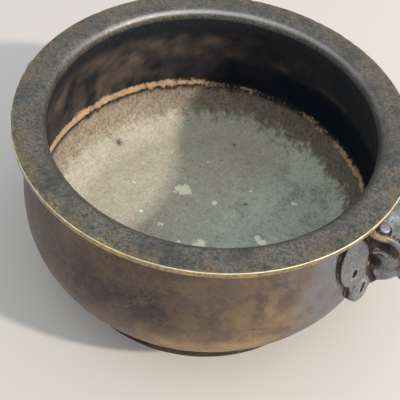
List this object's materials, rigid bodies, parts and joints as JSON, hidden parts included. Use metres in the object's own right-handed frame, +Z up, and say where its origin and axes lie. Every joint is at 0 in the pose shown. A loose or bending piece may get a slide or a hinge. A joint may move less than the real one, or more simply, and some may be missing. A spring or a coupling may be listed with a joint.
{
  "type": "incense burner",
  "caption": "Low round cast bronze censer: an open bowl with a broad flat rim, a ring foot and beast-head handles on opposite sides.",
  "frame": {"origin": "centre of the foot's underside, on the surface it stands on", "axes": "+Z up along the bowl's axis, +X through the middle of one handle, +Y by the right hand"},
  "size_m": [0.2188, 0.18, 0.094],
  "materials": {
    "vessel_bronze": "aged bronze, dark brown satin patina with purple-brown cloud, golden wear on the rim's edge and low on the belly, sooty rim and wall inside, grey-green floor with verdigris spots and a cream residue ring",
    "handle_bronze": "aged bronze, blue-grey to brown satin patina, golden on the raised ridges, dark in the hollows, pale green deposit along the joint"
  },
  "bodies": {
    "root": {"vessel": "vessel_bronze", "handle_right": "handle_bronze", "handle_left": "handle_bronze"}
  },
  "joints": []
}
